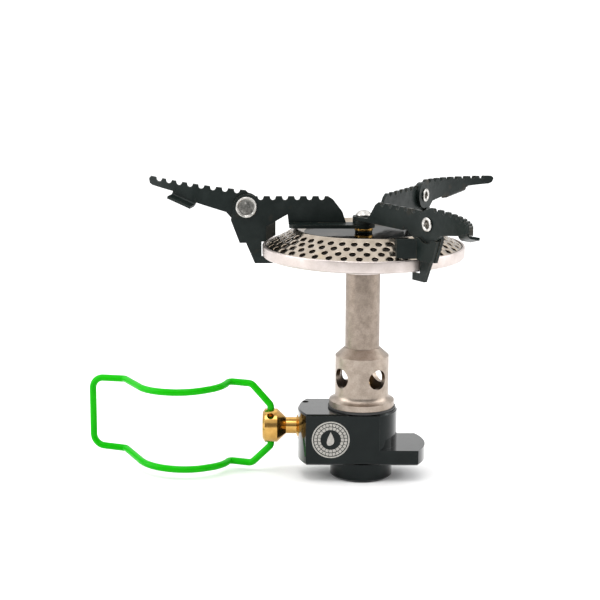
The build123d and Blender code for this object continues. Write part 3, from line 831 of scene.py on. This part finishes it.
# ------------------------------------------------------------------ sub-assemblies
@dataclass
class ValveBody:
    """Black body with the canister's socket, its seal and the etched mark on the front flat."""

    finishes: Finishes
    axis_z: float = 14.45 * MM
    ease: float = 0.14 * MM
    thread_turns: float = 4.4
    thread_pitch: float = 0.907 * MM
    thread_start: float = 0.75 * MM
    bore_radius: float = 5.6 * MM
    ridge: float = 0.42 * MM
    mark_centre: tuple[float, float] = (-8.95, 12.74)
    mark_rim: tuple[float, float] = (4.98, 5.37)
    mark_rows: tuple[tuple[float, float, int], ...] = ((3.92, 4.72, 28), (2.92, 3.72, 20))
    mark_gap: float = 0.16
    mark_lift: float = 0.025
    block_steps: int = 4
    flame_size: tuple[float, float] = (1.5, 2.05)  # half its width and half its height
    flame_rise: float = 0.35
    flame_lean: float = 0.35
    flame_steps: int = 40

    def build(self) -> list[bpy.types.Object]:
        """Make the body's pieces and dress the ones that keep their CAD mesh.

        Returns:
            The finished pieces.
        """
        black = (self.finishes.anodised, self.finishes.anodised_edge)
        body = eased_copy("valve_body", "body", self.ease, *black)
        dress("gland_pin", self.finishes.anodised_edge)
        dress("canister_seal", self.finishes.rubber)
        dress("valve_probe", self.finishes.burner_brass)
        dress("gas_filter", self.finishes.bronze)
        return [body, self.socket_thread(), self.mark()]

    def socket_thread(self) -> bpy.types.Object:
        """Wind the thread that the canister screws into.

        Returns:
            The thread, riding on the stove.
        """
        thread = thread_grower().grow(
            "socket_thread",
            bpy.data.meshes.new("seed"),
            Turns=self.thread_turns,
            Bore_Radius=self.bore_radius,
            Height=self.thread_turns * self.thread_pitch,
            Ridge=self.ridge,
            Finish=self.finishes.anodised,
        )
        thread.data.transform(Matrix.Translation((0, 0, self.thread_start)))
        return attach(thread, "stove")

    def block(self, inner: float, outer: float, count: int) -> bpy.types.Mesh:
        """One block of a paved ring, centred on the X axis, with half a gap on each side.

        Args:
            inner: Radius of the block's inner side, in millimetres.
            outer: Radius of its outer side.
            count: Blocks in the ring.

        Returns:
            The block as a flat prism.
        """
        steps = self.block_steps
        corners = []
        for radius, order in ((inner, range(steps + 1)), (outer, range(steps, -1, -1))):
            half = math.pi / count - self.mark_gap / 2 / radius
            for step in order:
                angle = half * (2 * step / steps - 1)
                corners.append((radius * math.cos(angle), radius * math.sin(angle)))
        return prism(corners, self.mark_lift)

    def flame(self) -> bpy.types.Mesh:
        """The flame at the centre: a drop that leans to its tip.

        Returns:
            The flame as a flat prism.
        """
        wide, tall = self.flame_size
        corners = []
        for k in range(self.flame_steps):
            angle = math.tau * k / self.flame_steps
            swell = math.sin(angle / 2) ** 1.6
            lean = self.flame_lean * math.sin(angle / 2) ** 6
            x = wide * math.sin(angle) * swell + lean * math.cos(angle)
            corners.append((x, self.flame_rise + tall * math.cos(angle)))
        return prism(corners, self.mark_lift)

    def mark(self) -> bpy.types.Object:
        """Lay a plain paved disc with a flame, in pale etching, on the front flat.

        Returns:
            The mark, riding on the stove.
        """
        etched = self.finishes.etched
        inner, outer = self.mark_rim
        rim = [(outer, 0), (outer, self.mark_lift), (inner, self.mark_lift), (inner, 0)]
        parts = [new_piece("mark_rim", lathe(rim, 96)), new_piece("flame", self.flame())]
        rings = ring_grower()
        for low, high, count in self.mark_rows:
            seed = self.block(low, high, count)
            parts.append(rings.grow(f"mark_row_{count}", seed, Count=count, Start=0.0, Finish=etched))
        mark = join("body_mark", parts, etched)
        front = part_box("valve_body")[0].y
        x, z = self.mark_centre
        place = Matrix.Translation((x * MM, front, z * MM)) @ Matrix.Rotation(math.pi / 2, 4, "X")
        mark.data.transform(place)
        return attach(mark, "stove")


def prism(corners: Sequence[Point], height: float) -> bpy.types.Mesh:
    """Raise a flat outline in millimetres into a closed prism on the level plane.

    Args:
        corners: The outline, in order.
        height: How far it is raised, in millimetres.

    Returns:
        The closed mesh.
    """
    shape = bmesh.new()
    floor = [shape.verts.new((x * MM, y * MM, 0)) for x, y in corners]
    roof = [shape.verts.new((x * MM, y * MM, height * MM)) for x, y in corners]
    shape.faces.new(roof)
    shape.faces.new(list(reversed(floor)))
    for k in range(len(corners)):
        after = (k + 1) % len(corners)
        shape.faces.new((floor[k], floor[after], roof[after], roof[k]))
    bmesh.ops.recalc_face_normals(shape, faces=shape.faces)
    return as_mesh(shape, "prism")


def join(
    name: str, parts: Iterable[bpy.types.Object], finish: bpy.types.Material, weld: float = 0.0
) -> bpy.types.Object:
    """Join pieces into one, remove the originals and give the result one finish.

    Args:
        name: Name of the joined piece.
        parts: The pieces to join.
        finish: Its finish.
        weld: Distance within which points of different parts become one, or 0 to leave them.

    Returns:
        The joined object.
    """
    shape = bmesh.new()
    for part in parts:
        shape.from_mesh(part.data)
        bpy.data.objects.remove(part)
    if weld:
        bmesh.ops.remove_doubles(shape, verts=shape.verts, dist=weld)
        bmesh.ops.recalc_face_normals(shape, faces=shape.faces)
    mesh = as_mesh(shape, name)
    for polygon in mesh.polygons:
        polygon.material_index = 0
    return new_piece(name, shaded(mesh), finish)


@dataclass
class ValveSpindle:
    """Brass spindle block, its gland and its O-ring."""

    finishes: Finishes
    ease: float = 0.1 * MM

    def build(self) -> list[bpy.types.Object]:
        """Ease the turned pieces' edges and dress the hidden ring.

        Returns:
            The spindle's block and the gland.
        """
        dress("spindle_seal", self.finishes.rubber)
        names = {"spindle": "spindle_block", "spindle_gland": "gland"}
        return [eased_copy(node, name, self.ease, self.finishes.brass) for node, name in names.items()]


@dataclass
class WireHandle:
    """Coated wire loop, pinned in the spindle's block."""

    finishes: Finishes
    wire_radius: float = 1.0 * MM
    azimuth: float = 161.0
    hinge_x: float = -26.1
    root: float = 11.9
    end_height: float = 10.3
    hug_centre: Point = (26.3, 2.3)
    hug_radius: float = 13.1
    hug_from: float = 190.0
    hug_to: float = 43.0
    hug_corners: int = 3
    hug_fall: float = 0.25  # how much nearer each corner of the hug comes to the spindle's level
    waist: Point = (44.6, 3.0)
    end: Point = (54.8, 3.5)
    sides: int = 28

    def half(self) -> list[tuple[float, float, float, float]]:
        """Corners of the upper half with their bend radii: x, y, z and bend, in the handle's frame.

        Returns:
            Points from the pin to the end bar, in millimetres.
        """
        turn = (self.hug_from - self.hug_to) / self.hug_corners
        reach = self.hug_radius / math.cos(math.radians(turn / 2))
        points = [(0, 0, 1.6, 0), (0, 0, 6.0, 1.6), (5.9, 0, self.root, 2.5), (12.9, 0, self.root, 1.5)]
        for k in range(self.hug_corners):
            angle = math.radians(self.hug_from - turn * (k + 0.5))
            x = self.hug_centre[0] + reach * math.cos(angle)
            y = self.hug_centre[1] + reach * math.sin(angle)
            points.append((x, y, self.root - self.hug_fall * (k + 1), self.hug_radius * 0.97))
        points.append((*self.waist, self.end_height + 0.3, 1.6))
        points.append((*self.end, self.end_height, 3.4))
        return points

    def build(self) -> list[bpy.types.Object]:
        """Draw the wire along its path.

        Returns:
            The handle alone.
        """
        upper = self.half()
        path = upper + [(x, y, -z, bend) for x, y, z, bend in reversed(upper)]
        seed = bpy.data.meshes.new("wire_path")
        steps = [(k, k + 1) for k in range(len(path) - 1)]
        seed.from_pydata([Vector(point[:3]) * MM for point in path], steps, [])
        bends = seed.attributes.new("bend", "FLOAT", "POINT")
        bends.data.foreach_set("value", [point[3] * MM for point in path])
        turn = Matrix.Rotation(math.radians(self.azimuth), 4, "Z")
        seed.transform(Matrix.Translation((self.hinge_x * MM, 0, ValveBody.axis_z)) @ turn)
        inputs = {"Wire_Radius": self.wire_radius, "Sides": self.sides, "Finish": self.finishes.green}
        wire = wire_grower().grow("handle_wire", seed, **inputs)
        shaded(wire.data, 50)
        return [stand_in(wire, "wire_handle")]


@dataclass
class MixingTube:
    """Jet, gasket, air chamber and the stem that carries the burner."""

    finishes: Finishes
    ease: float = 0.14 * MM
    jet_ease: float = 0.07 * MM
    gasket: Point = (6.05, 9.65)  # its inner and outer radius
    stem: Point = (3.9, 4.9)  # its inner and outer radius
    bore_round: float = 0.1
    outer_round: float = 0.15

    def build(self) -> list[bpy.types.Object]:
        """Make the pieces from the body up to the burner.

        Returns:
            The gasket, the stem, the jet and the air chamber.
        """
        gasket = self.tube("flange_gasket", self.gasket, 0, 6, 192)
        stem = self.tube("burner_stem", self.stem, self.bore_round, 4, 128)
        return [
            stand_in(new_piece("gasket", gasket, self.finishes.rubber), "flange_gasket"),
            stand_in(new_piece("stem", stem, self.finishes.drawn), "burner_stem"),
            eased_copy("jet", "gas_jet", self.jet_ease, self.finishes.burner_brass),
            eased_copy("mixing_chamber", "air_chamber", self.ease, self.finishes.turned),
        ]

    def tube(self, node: str, radii: Point, bore_round: float, steps: int, segments: int) -> bpy.types.Mesh:
        """Spin a plain tube as high as a CAD node.

        Args:
            node: The CAD node whose levels it takes.
            radii: Inner and outer radius.
            bore_round: Radius that its inner edges are rounded to.
            steps: Points along each rounded edge.
            segments: Steps round the circle.

        Returns:
            The tube's mesh.
        """
        low, high = levels(node)
        inner, outer = radii
        corners = [
            (inner, low, bore_round),
            (outer, low, self.outer_round),
            (outer, high, self.outer_round),
            (inner, high, bore_round),
        ]
        return lathe(rounded(corners, steps), segments)


@dataclass
class Burner:
    """Pressed bowl and the perforated plate that closes it."""

    finishes: Finishes
    rim_radius: float = 28.5
    rim_low: float = 64.17
    rim_high: float = 67.55
    bowl_sheet: float = 0.8
    bowl_flat: float = 24.6
    hub: Point = (5.9, 59.6)
    hub_rise: float = 0.7
    stem_radius: float = 4.92
    stem_top: float = 62.4
    sheet: float = 0.6
    lips: tuple[Point, ...] = ((0.12, 0.0), (0.05, 0.035), (0.0, 0.13), (0.0, 0.55), (0.03, 0.6))
    hole_radius: float = 1.5
    well: Point = (16.4, 70.9)
    crest: Point = (19.2, 72.35)
    slope_foot: Point = (27.6, 67.35)
    slope_top: Point = (19.2, 72.0)
    port_radius: float = 0.88
    port_rows: tuple[float, ...] = (21.1, 22.98, 24.86, 26.6)
    row_edges: tuple[float, ...] = (20.2, 22.04, 23.92, 25.74, 27.4)
    ports: int = 40
    across: int = 8  # steps along a port cell's level sides
    upward: int = 4  # steps along its sloping sides

    def build(self) -> list[bpy.types.Object]:
        """Make the bowl and the plate."""
        return [self.bowl(), self.plate()]

    def bowl(self) -> bpy.types.Object:
        """Spin the bowl, with its satin band and rounded lip.

        Returns:
            The bowl, darker inside.
        """
        hub_r, hub_z = self.hub
        wall = self.rim_radius - self.bowl_sheet
        sheet = self.bowl_sheet
        corners = [
            (self.stem_radius, hub_z, 0.1),
            (hub_r, hub_z, 0.35),
            (hub_r, hub_z + self.hub_rise, 0.4),
            (self.bowl_flat, self.rim_low, 3.0),
            (self.rim_radius, self.rim_low, 0.8),
            (self.rim_radius, self.rim_high, 0.36),
            (wall, self.rim_high, 0.36),
            (wall, self.rim_low + sheet, 0.3),
            (self.bowl_flat, self.rim_low + sheet, 2.0),
            (hub_r, hub_z + self.hub_rise + sheet, 0.2),
            (hub_r, self.stem_top, 0.2),
            (self.stem_radius, self.stem_top, 0.1),
        ]
        bowl = new_piece("bowl", lathe(rounded(corners), 256), self.finishes.banded)
        zone(bowl, self.finishes.dark_inner, self.in_bowl)
        return stand_in(bowl, "burner_bowl")

    def in_bowl(self, centre: Vector) -> bool:
        """Say whether a face lies on the bowl's inner wall or floor.

        Args:
            centre: The face's centre, in metres.

        Returns:
            Whether the burner's flames and soot reach it.
        """
        radius = math.hypot(centre.x, centre.y) / MM
        hub_r, hub_z = self.hub
        climb = min(1.0, (radius - hub_r) / (self.bowl_flat - hub_r))
        floor = hub_z + self.hub_rise + climb * (self.rim_low - hub_z - self.hub_rise)
        return hub_r - 0.1 < radius < self.rim_radius - self.bowl_sheet + 0.1 and centre.z / MM > floor + 0.4

    @property
    def slope(self) -> float:
        """Angle of the perforated slope below level, in radians."""
        (low_r, low_z), (high_r, high_z) = self.slope_foot, self.slope_top
        return math.atan2(high_z - low_z, low_r - high_r)

    def on_slope(self, radius: float, depth: float) -> Point:
        """Radius and height of a point under the slope's face, depth millimetres into the sheet."""
        height = self.slope_foot[1] + (self.slope_foot[0] - radius) * math.tan(self.slope)
        return radius - depth * math.sin(self.slope), height - depth * math.cos(self.slope)

    def cell(self, row: int) -> bpy.types.Mesh:
        """One port with the patch of sheet round it, in both faces, centred on the X axis.

        Args:
            row: Which row of ports, from the crest down.

        Returns:
            An open mesh whose four sides meet its neighbours'.
        """
        centre = self.port_rows[row]
        low, high = self.row_edges[row], self.row_edges[row + 1]
        half = math.pi / self.ports
        border = []
        for side, steps in enumerate((self.upward, self.across) * 2):
            for step in range(steps):
                t = 2 * step / steps - 1
                u, v = ((-1, t), (t, 1), (1, -t), (-t, -1))[side]
                border.append((low + (high - low) * (v + 1) / 2, half * u))
        angles = [math.atan2((r - centre) / math.cos(self.slope), a * centre) for r, a in border]
        shape = bmesh.new()

        def ring(depth: float, wider: float | None) -> list[bmesh.types.BMVert]:
            """Add one loop of the cell: its border, or a circle round the port.

            Args:
                depth: How far under the slope's face the loop lies, in millimetres.
                wider: How much wider than the port the circle is, or None for the border.

            Returns:
                The loop's corners.
            """
            loop = []
            for (radius, azimuth), angle in zip(border, angles):
                if wider is not None:
                    reach = self.port_radius + wider
                    radius = centre + reach * math.sin(angle) * math.cos(self.slope)
                    azimuth = reach * math.cos(angle) / radius
                r, z = self.on_slope(radius, depth)
                loop.append(shape.verts.new(polar(r, azimuth, z)))
            return loop

        walls = [ring(depth, wider) for wider, depth in self.lips]
        loops = [ring(0.0, None), *walls, ring(self.sheet, None)]
        for first, second in zip(loops, loops[1:]):
            for k in range(len(first)):
                after = (k + 1) % len(first)
                shape.faces.new((first[k], first[after], second[after], second[k]))
        return as_mesh(shape, "port_cell")

    def plate(self) -> bpy.types.Object:
        """Join the rows of ports to the well, the crest and the outer lip.

        Returns:
            The plate, with its well in the polished finish that carries a painted dark reflection.
        """
        rings = ring_grower()
        parts = []
        for row in range(len(self.port_rows)):
            start = math.pi / self.ports * (row % 2)
            inputs = {"Count": self.ports, "Start": start, "Finish": self.finishes.pressed}
            parts.append(rings.grow(f"port_row_{row}", self.cell(row), **inputs))
        segments = self.ports * self.across
        sheet = self.sheet
        inner_top = self.on_slope(self.row_edges[0], 0)
        inner_low = self.on_slope(self.row_edges[0], sheet)
        crest_r, crest_z = self.crest
        well_r, well_z = self.well
        foot = self.slope_foot[0]
        inner = [
            (*inner_top, 0),
            (crest_r, crest_z, 1.6),
            (well_r, well_z, 1.4),
            (self.hole_radius, well_z, 0),
            (self.hole_radius, well_z - sheet, 0),
            (well_r + sheet * 0.24, well_z - sheet, 1.4),
            (crest_r - sheet * 0.03, crest_z - sheet * 1.14, 1.2),
            (*inner_low, 0),
        ]
        outer = [
            (*self.on_slope(self.row_edges[-1], sheet), 0),
            (*self.on_slope(foot + 0.02, sheet), 0),
            (*self.on_slope(foot + 0.02, 0.12), 0),
            (*self.on_slope(foot - 0.08, 0), 0),
            (*self.on_slope(self.row_edges[-1], 0), 0),
        ]
        for name, outline in (("plate_crown", rounded(inner, 8)), ("plate_lip", rounded(outer))):
            parts.append(new_piece(name, as_mesh(spin(outline, segments, closed=False), name)))
        plate = join("burner_cap", parts, self.finishes.pressed, weld=3 * WELD)
        # the well gets the finish with the painted dark reflection
        well_edge = (well_r + 0.7) * MM
        zone(plate, self.finishes.mirror, lambda centre: math.hypot(centre.x, centre.y) < well_edge)
        return stand_in(plate, "burner_plate")


@dataclass
class Pivot:
    """Riveted post that the three pot supports swivel on, its brass washer and its nut."""

    finishes: Finishes
    post_radius: float = 1.5
    head_radius: float = 2.3
    head_rim: float = 0.3
    dome: float = 1.3
    washer: Point = (1.52, 2.6)  # its inner and outer radius
    collar: float = 2.45
    brass_height: float = 0.75
    nut_ease: float = 0.15 * MM

    def build(self) -> list[bpy.types.Object]:
        """Make the post, washer and nut.

        Returns:
            The three pieces.
        """
        low, high = levels("pivot_post")
        shoulder = high - self.dome
        corners = [
            (0, low, 0),
            (self.post_radius, low, 0.2),
            (self.post_radius, shoulder - self.head_rim, 0),
            (self.head_radius, shoulder - self.head_rim, 0.15),
            (self.head_radius, shoulder + 0.1, 0.4),
            (1.3, high - 0.25, 1.0),
            (0, high, 0),
        ]
        post = new_piece("support_post", lathe(rounded(corners), 64), self.finishes.rivet)
        low, high = levels("pivot_spacer")
        inner, outer = self.washer
        step = high - self.brass_height
        ring = [
            (inner, low, 0.1),
            (self.collar, low, 0.1),
            (self.collar, step, 0),
            (outer, step, 0.15),
            (outer, high, 0.2),
            (inner, high, 0.1),
        ]
        washer = new_piece("brass_washer", lathe(rounded(ring, 4), 72), self.finishes.burner_brass)
        zone(washer, self.finishes.blackened, lambda centre: centre.z < (step - 0.05) * MM)
        nut = eased_copy("pivot_nut", "post_nut", self.nut_ease, self.finishes.rivet)
        return [stand_in(post, "pivot_post"), stand_in(washer, "pivot_spacer"), nut]


@dataclass
class PotSupport:
    """One pot support: toothed inner plate, folding outer blade and the rivet between them."""

    finishes: Finishes
    side: Side
    azimuths: dict[Side, float] = field(
        default_factory=lambda: {Side.LEFT: 181.5, Side.BACK: 61.1, Side.FRONT: -55.5}
    )
    ease: float = 0.15 * MM
    rivet_out: float = 33.0
    rivet_z: float = 77.74
    rivet_base: float = -1.53
    dish_radius: float = 2.25
    head: Point = (3.0, 0.85)  # radius and height of the rivet's head
    shank: Point = (1.3, -2.2)  # radius of the rivet's tube, and where its roll starts
    roll: Point = (1.95, -2.7)  # radius of the rolled end, and where it ends
    roll_bore: float = 1.05

    def build(self) -> list[bpy.types.Object]:
        """Make the arm, the blade and the rivet.

        Returns:
            The three pieces.
        """
        # the second finish paints a highlight along the eased edges
        sheet = (self.finishes.blackened, self.finishes.blackened_edge_highlight)
        pieces = []
        for part in ("arm", "blade"):
            name = f"{part}_{self.side.value}"
            pieces.append(eased_copy(f"support_{name}", name, self.ease, *sheet))
        return [*pieces, self.rivet()]

    def rivet(self) -> bpy.types.Object:
        """Spin the semi-tubular rivet: dished head outside, rolled tube on the blade's side.

        Returns:
            The rivet, which stands across its arm.
        """
        (head_r, head_z), (shank_r, shank_z), (roll_r, roll_z) = self.head, self.shank, self.roll
        corners = [
            (0, 0.42, 0),
            (self.dish_radius, 0.5, 0.3),
            (2.5, head_z, 0.2),
            (2.8, head_z, 0.2),
            (head_r, 0.55, 0.3),
            (head_r, 0, 0.3),
            (shank_r, 0, 0),
            (shank_r, shank_z, 0),
            (roll_r, shank_z, 0.2),
            (roll_r, roll_z, 0.32),
            (self.roll_bore, roll_z, 0.32),
            (1.0, -1.2, 0),
            (0, -0.9, 0),
        ]
        rivet = new_piece(f"rivet_{self.side.value}", lathe(rounded(corners), 72), self.finishes.rivet)
        dish = self.dish_radius * MM
        # the dished centre of the head gets the finish with the painted dark reflection
        zone(rivet, self.finishes.dish, lambda centre: centre.z > 0 and math.hypot(centre.x, centre.y) < dish)
        azimuth = math.radians(self.azimuths[self.side])
        outward = Vector((math.cos(azimuth), math.sin(azimuth), 0))
        head = Vector((-math.sin(azimuth), math.cos(azimuth), 0))
        frame_axes = Matrix((outward, head.cross(outward), head)).transposed().to_4x4()
        centre = (outward * self.rivet_out + head * self.rivet_base) * MM
        centre.z = self.rivet_z * MM
        rivet.data.transform(Matrix.Translation(centre) @ frame_axes)
        return stand_in(rivet, f"blade_rivet_{self.side.value}")


# ------------------------------------------------------------------ studio
@dataclass
class Studio:
    """Pale floor, soft light and the camera."""

    floor_size: float = 60.0
    floor_level: float = -0.05 * MM
    floor_white: float = 0.93
    camera_place: tuple[float, float, float] = (-17.82 * MM, -450 * MM, 144.08 * MM)
    camera_dip: float = 11.648  # degrees below level
    camera_roll: float = 0.25
    lens: float = 97.1
    sensor: float = 36.0
    front_light: float = 0.30
    back_light: float = 0.95
    light_turn: Point = (-0.8, 0.5)  # how far towards the front and the back the light changes
    dome_power: float = 1.7
    dome_width: float = 120.0  # degrees
    panels: tuple[tuple[str, tuple[float, float, float], float, float], ...] = (
        ("left", (-0.60, -0.10, 0.30), 0.5, 2.2),
        ("right", (0.60, 0.0, 0.30), 0.5, 1.8),
        ("top", (-0.10, -0.30, 0.85), 0.4, 2.0),
    )  # name, place in metres, width in metres and power in watts
    aim: tuple[float, float, float] = (0, 0, 45 * MM)

    def build(self) -> None:
        """Set up everything round the stove."""
        self.camera()
        self.floor()
        self.world()
        self.dome()
        for name, place, size, power in self.panels:
            self.panel(name, place, size, power)

    def camera(self) -> None:
        """Place the camera before the body's front flat, above the burner and dipped towards it."""
        data = bpy.data.cameras.new("camera")
        data.lens = self.lens
        data.sensor_width = self.sensor
        data.sensor_fit = "HORIZONTAL"
        data.clip_start = 0.01
        camera = bpy.data.objects.new("camera", data)
        tilt = Matrix.Rotation(math.radians(90 - self.camera_dip), 4, "X")
        roll = Matrix.Rotation(math.radians(self.camera_roll), 4, "Z")
        camera.matrix_world = Matrix.Translation(self.camera_place) @ tilt @ roll
        bpy.context.scene.collection.objects.link(camera)
        bpy.context.scene.camera = camera

    def floor(self) -> None:
        """Lay the pale floor that the boss stands on."""
        half = self.floor_size / 2
        mesh = bpy.data.meshes.new("floor")
        level = self.floor_level
        corners = [(-half, -half, level), (half, -half, level), (half, half, level), (-half, half, level)]
        mesh.from_pydata(corners, [], [(0, 1, 2, 3)])
        paper = Board("pale_paper")
        paper.shader.inputs["Base Color"].default_value = (self.floor_white,) * 3 + (1.0,)
        paper.shader.inputs["Roughness"].default_value = 0.9
        paper.shader.inputs["Specular IOR Level"].default_value = 0.1
        new_piece("floor", mesh, paper.material)

    def world(self) -> None:
        """Surround the scene with white light that dims towards the front, as a room does."""
        scene = bpy.context.scene
        scene.world = bpy.data.worlds.new("studio")
        scene.world.use_nodes = True
        nodes, links = scene.world.node_tree.nodes, scene.world.node_tree.links
        parts = nodes.new("ShaderNodeSeparateXYZ")
        links.new(nodes.new("ShaderNodeTexCoord").outputs["Generated"], parts.inputs[0])
        shade = nodes.new("ShaderNodeMapRange")
        shade.interpolation_type = "SMOOTHSTEP"
        links.new(parts.outputs["Y"], shade.inputs["Value"])
        shade.inputs["From Min"].default_value = self.light_turn[0]
        shade.inputs["From Max"].default_value = self.light_turn[1]
        shade.inputs["To Min"].default_value = self.front_light
        shade.inputs["To Max"].default_value = self.back_light
        links.new(shade.outputs[0], nodes["Background"].inputs["Strength"])
        nodes["Background"].inputs["Color"].default_value = (1, 1, 1, 1)
        scene.view_settings.view_transform = "Standard"

    def dome(self) -> None:
        """Light everything from above as if through one wide cloth."""
        data = bpy.data.lights.new("dome", "SUN")
        data.energy = self.dome_power
        data.angle = math.radians(self.dome_width)
        bpy.context.scene.collection.objects.link(bpy.data.objects.new("dome", data))

    def panel(self, name: str, place: tuple[float, float, float], size: float, power: float) -> None:
        """Hang a square soft light that faces the middle of the stove.

        Args:
            name: Name of the light.
            place: Its centre, in metres.
            size: Its width, in metres.
            power: Its power, in watts.
        """
        data = bpy.data.lights.new(name, "AREA")
        data.size = size
        data.energy = power
        light = bpy.data.objects.new(name, data)
        light.location = place
        facing = Vector(self.aim) - Vector(place)
        light.rotation_euler = facing.to_track_quat("-Z", "Y").to_euler()
        bpy.context.scene.collection.objects.link(light)


def main() -> None:
    """Build the studio and every sub-assembly, and report each piece."""
    logging.basicConfig(level=logging.INFO, format="%(name)s: %(message)s")
    Studio().build()
    finishes = Finishes()
    supports = [PotSupport(finishes, side) for side in Side]
    assemblies = [ValveBody, ValveSpindle, WireHandle, MixingTube, Burner, Pivot]
    for assembly in [*(kind(finishes) for kind in assemblies), *supports]:
        for piece in assembly.build():
            log.info("%s: %s, %d faces", type(assembly).__name__, piece.name, len(piece.data.polygons))


if __name__ == "__main__":
    main()
